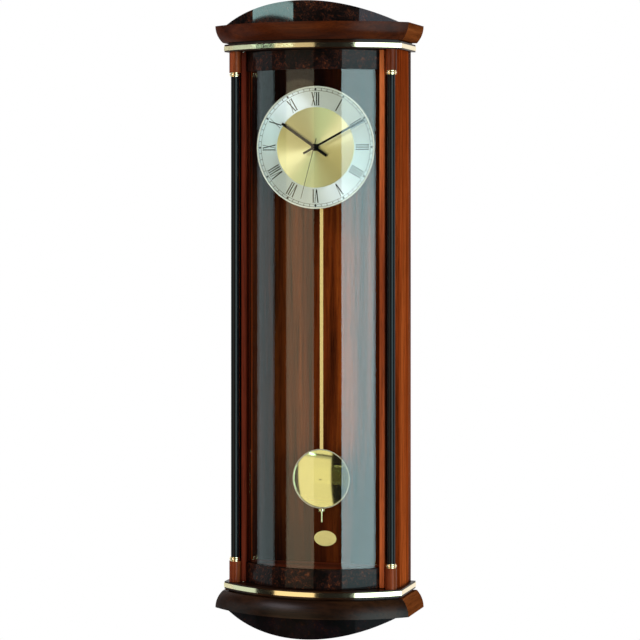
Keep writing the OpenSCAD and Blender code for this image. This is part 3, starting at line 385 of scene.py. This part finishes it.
LOOKS = {
    side_wood: "side_left side_right",
    back_wood: "back_panel",
    frame_wood: "column_blocks",
    stile_painted_shade_wood: "door_stile_left",
    stile_painted_light_wood: "door_stile_right",
    dark_frame: "door_jambs",
    inner_wood: "inner_boards",
    cornice_wood: "upper_cornice",
    return_painted_light_wood: "cornice_returns",
    low_wood: "lower_cornice",
    ledge_wood: "top_board bottom_board",
    core_wood: "cornice_cores",
    crest_burl: "crest_panel",
    rail_burl: "door_top_rail door_bottom_rail",
    drop_burl: "drop_panel",
    black: "columns",
    hand_black: "hour_hand minute_hand second_hand",
    brass: "upper_brass_strip lower_brass_strip column_collars pivot_bushes dial_nut "
           "cannon_pinion centre_wheel rating_nut",
    badge_brass: "badge_plate",
    rod_brass: "pendulum_rod",
    steel: "magnet_catch hanger_plate case_screws movement_bracket battery_contacts "
           "motor_stator motor_rotor rocker_magnet door_hardware",
    chrome: "bob_rim",
    silver: "dial_plate",
    white_rim: "dial_rim",
    gold: "dial_disc",
    bob_gold: "bob_face",
    shell: "movement_case movement_cover set_knob",
    acetal: "hour_wheel motion_wheel third_wheel seconds_wheel intermediate_wheel "
            "pendulum_rocker",
    coil: "motor_coil",
    round_coil: "pendulum_coil",
    board: "circuit_board",
    cell: "battery",
    clear: "door_glass",
}
for look, names in LOOKS.items():
    for name in names.split():
        data = nodes[name].data
        data.materials.clear()
        data.materials.append(look)

# Small rounded edges on the woodwork and the larger metal pieces, in millimetres
EDGES = {
    0.6: "side_left side_right crest_panel drop_panel door_top_rail door_bottom_rail",
    0.5: "upper_cornice lower_cornice cornice_returns top_board bottom_board "
         "door_stile_left door_stile_right",
    0.3: "column_blocks columns inner_boards door_jambs badge_plate bob_rim movement_case",
    0.15: "upper_brass_strip lower_brass_strip dial_rim rating_nut set_knob dial_nut "
          "pendulum_rocker",
    0.1: "hour_hand minute_hand second_hand hanger_plate pendulum_rod",
}
for width, names in EDGES.items():
    for name in names.split():
        mod = nodes[name].modifiers.new("soft_edges", "BEVEL")
        mod.width = width * MM
        mod.segments = 3
        mod.limit_method = "ANGLE"
        mod.angle_limit = math.radians(38)


# Printed dial: numerals and minute track

PRINT = 0.03


def dial_print(name, polys):
    """Flat marks just before the dial. Points are in millimetres from its centre, as it is seen."""
    verts = []
    faces = []
    for poly in polys:
        start = len(verts)
        verts.extend((x * MM, DIAL_Y - PRINT * MM, DIAL_Z + z * MM) for x, z in poly)
        faces.append(tuple(range(start, start + len(poly))))
    mesh = bpy.data.meshes.new(name)
    mesh.from_pydata(verts, [], faces)
    mesh.materials.append(hand_black)
    obj = bpy.data.objects.new(name, mesh)
    scene.collection.objects.link(obj)
    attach(obj, "case")


def turn(points, clockwise):
    """Points turned about the dial's centre, in degrees."""
    a = math.radians(clockwise)
    c, s = math.cos(a), math.sin(a)
    return [(x * c + z * s, -x * s + z * c) for x, z in points]


# Numerals, upright at 12: inner and outer end, strokes, half spreads and each letter's width
NUM_LOW, NUM_HIGH = 48.2, 63.4
THICK, THIN, SERIF = 1.25, 0.6, 0.35
I_HALF, WIDE, NARROW = 1.05, 1.1, 0.8
V_HALF, X_HALF = 1.8, 1.75
WIDTHS = {"I": 2.5, "V": 5.3, "X": 5.2}
NUMERALS = ["XII", "I", "II", "III", "IIII", "V", "VI", "VII", "VIII", "IX", "X", "XI"]


def bar(x0, x1):
    return [(x0, NUM_LOW), (x1, NUM_LOW), (x1, NUM_HIGH), (x0, NUM_HIGH)]


def slant(low_x, high_x, w):
    return [(low_x - w / 2, NUM_LOW), (low_x + w / 2, NUM_LOW),
            (high_x + w / 2, NUM_HIGH), (high_x - w / 2, NUM_HIGH)]


def serif(x, half, top):
    z = NUM_HIGH if top else NUM_LOW
    inner = -SERIF if top else SERIF
    return [(x - half, z), (x + half, z), (x + half, z + inner), (x - half, z + inner)]


def letter(kind, x):
    if kind == "I":
        return [bar(x - THICK / 2, x + THICK / 2), serif(x, I_HALF, True), serif(x, I_HALF, False)]
    if kind == "V":
        return [slant(x, x - V_HALF, THICK), slant(x + THICK / 4, x + V_HALF, THIN),
                serif(x - V_HALF, WIDE, True), serif(x + V_HALF, NARROW, True)]
    return [slant(x + X_HALF, x - X_HALF, THICK), slant(x - X_HALF, x + X_HALF, THIN),
            serif(x - X_HALF, WIDE, True), serif(x + X_HALF, NARROW, True),
            serif(x - X_HALF, NARROW, False), serif(x + X_HALF, WIDE, False)]


figures = []
for hour, word in enumerate(NUMERALS):
    x = -sum(WIDTHS[c] for c in word) / 2
    for c in word:
        figures.extend(turn(p, hour * 30) for p in letter(c, x + WIDTHS[c] / 2))
        x += WIDTHS[c]
dial_print("dial_numerals", figures)


RING_STEPS = 180


def ring(r0, r1):
    out = []
    for i in range(RING_STEPS):
        a0, a1 = 360 * i / RING_STEPS, 360 * (i + 1) / RING_STEPS
        (ax, az), (bx, bz) = turn([(0, 1)], a0)[0], turn([(0, 1)], a1)[0]
        out.append([(ax * r0, az * r0), (bx * r0, bz * r0), (bx * r1, bz * r1), (ax * r1, az * r1)])
    return out


# Minute track: its two circles and their width, the half width of a tick and of a five-minute mark
TRACK_IN, TRACK_OUT, LINE = 65.1, 68.5, 0.36
TICK_HALF, MARK_HALF = 0.28, 1.5
track = ring(TRACK_IN, TRACK_IN + LINE) + ring(TRACK_OUT - LINE, TRACK_OUT)
for minute in range(60):
    if minute % 5:
        half, low, high = TICK_HALF, TRACK_IN + LINE, TRACK_OUT - LINE
        mark = [(-half, low), (half, low), (half, high), (-half, high)]
    else:
        middle = (TRACK_IN + TRACK_OUT) / 2
        mark = [(0, TRACK_IN), (MARK_HALF, middle), (0, TRACK_OUT), (-MARK_HALF, middle)]
    track.append(turn(mark, minute * 6))
dial_print("minute_track", track)


# Camera at the photograph's place. The focal length and the horizon's row are in pixels.

PICTURE = 640
FOCAL = 2364.3
HORIZON_ROW = 198.5
SENSOR = 36

camera = bpy.data.objects.new("camera", bpy.data.cameras.new("camera"))
scene.collection.objects.link(camera)
camera.location = (0.7752, -2.6539, MIDDLE_Z + 0.1365)
camera.rotation_euler = (math.radians(90), 0, math.radians(16.48))
camera.data.sensor_width = SENSOR
camera.data.lens = SENSOR * FOCAL / PICTURE
camera.data.shift_y = (HORIZON_ROW - PICTURE / 2) / PICTURE
scene.camera = camera


# Studio: soft boxes, a pale floor well below the clock, and a white background

TARGET = Vector((0, -0.05, MIDDLE_Z))
BOX_FAR = 2.2


def soft_box(name, az_low, az_high, z_low, z_high, bright, tint):
    """An upright area light between two directions and two heights from the case's middle.
    0 degrees is straight out of the wall and + is to the viewer's right."""
    az, z = math.radians((az_low + az_high) / 2), (z_low + z_high) / 2
    data = bpy.data.lights.new(name, "AREA")
    data.shape = "RECTANGLE"
    data.size = 2 * BOX_FAR * math.tan(math.radians(az_high - az_low) / 2)
    data.size_y = z_high - z_low
    data.energy = bright * math.pi * data.size * data.size_y
    data.color = tint
    light = bpy.data.objects.new(name, data)
    scene.collection.objects.link(light)
    light.location = TARGET + Vector((BOX_FAR * math.sin(az), -BOX_FAR * math.cos(az), z))
    light.rotation_euler = (math.radians(90), 0, az)
    light.visible_camera = False


# The three upright stripes on the pane, and the brass strips
soft_box("box_left", -88.5, -60.5, -1.5, 0.47, 0.85, (0.76, 0.97, 1.0))
soft_box("box_front", -41.5, -5, -2.3, 0.38, 1.15, (1.0, 0.84, 0.56))
soft_box("box_front_top", -41.5, -5, 0.38, 0.485, 0.62, (1.0, 0.90, 0.66))
soft_box("box_right", 29.5, 73, -1.5, 0.48, 4.2, (0.68, 0.96, 1.0))
soft_box("box_right_top", 33, 73, 0.48, 1.5, 1.6, (0.75, 0.85, 1.0))
soft_box("box_front_high", -41.5, -5, 0.548, 0.93, 1.15, (1.0, 0.86, 0.60))
# The key light, which draws the bright fans on the dial
soft_box("box_high", -56, -25, 0.95, 2.0, 7.0, (0.96, 0.92, 1.0))
# The pale patch on the crest, and the left ends of the brass strips
soft_box("box_crest", -64, -24, 0.509, 0.547, 8.6, (0.62, 1.0, 0.97))
soft_box("box_strip_top", -106, -88.6, 0.425, 0.466, 0.95, (0.88, 0.97, 0.95))
soft_box("box_strip_low", -106, -88.6, -0.73, -0.63, 0.95, (0.88, 0.97, 0.95))

floor_mesh = bpy.data.meshes.new("floor")
floor_mesh.from_pydata([(-3, -4, 0), (3, -4, 0), (3, 0.8, 0), (-3, 0.8, 0)], [], [(0, 1, 2, 3)])
floor = bpy.data.objects.new("floor", floor_mesh)
floor.location = (0, 0, MIDDLE_Z - 2.4)
scene.collection.objects.link(floor)
floor_mat, _, floor_bsdf = new_material("floor")
floor_bsdf.inputs["Base Color"].default_value = (0.90, 0.88, 0.87, 1)
floor_bsdf.inputs["Roughness"].default_value = 0.9
floor_mesh.materials.append(floor_mat)
floor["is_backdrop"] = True

world = bpy.data.worlds.new("studio")
scene.world = world
world.use_nodes = True
wt = world.node_tree
wt.nodes.clear()
path = wt.nodes.new("ShaderNodeLightPath")
# Metal and glass see the white backdrop too, where it stands behind the wall's plane
toward = add(wt, "SeparateXYZ", {"Vector": wt.nodes.new("ShaderNodeTexCoord").outputs["Generated"]})
behind = maths(wt, "GREATER_THAN", toward.outputs["Y"], 0.25)
shiny = maths(wt, "MAXIMUM", path.outputs["Is Glossy Ray"], path.outputs["Is Transmission Ray"])
shown = maths(wt, "MAXIMUM", path.outputs["Is Camera Ray"], maths(wt, "MULTIPLY", shiny, behind))
around = add(wt, "Background", Strength=1.0)
around.inputs["Color"].default_value = (0.012, 0.012, 0.013, 1)
seen = add(wt, "Background", Strength=1.0)
seen.inputs["Color"].default_value = (1, 1, 1, 1)
pick = add(wt, "MixShader", {0: shown, 1: around.outputs[0], 2: seen.outputs[0]})
world_out = wt.nodes.new("ShaderNodeOutputWorld")
wt.links.new(pick.outputs[0], world_out.inputs["Surface"])
scene.view_settings.view_transform = "Standard"

low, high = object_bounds()
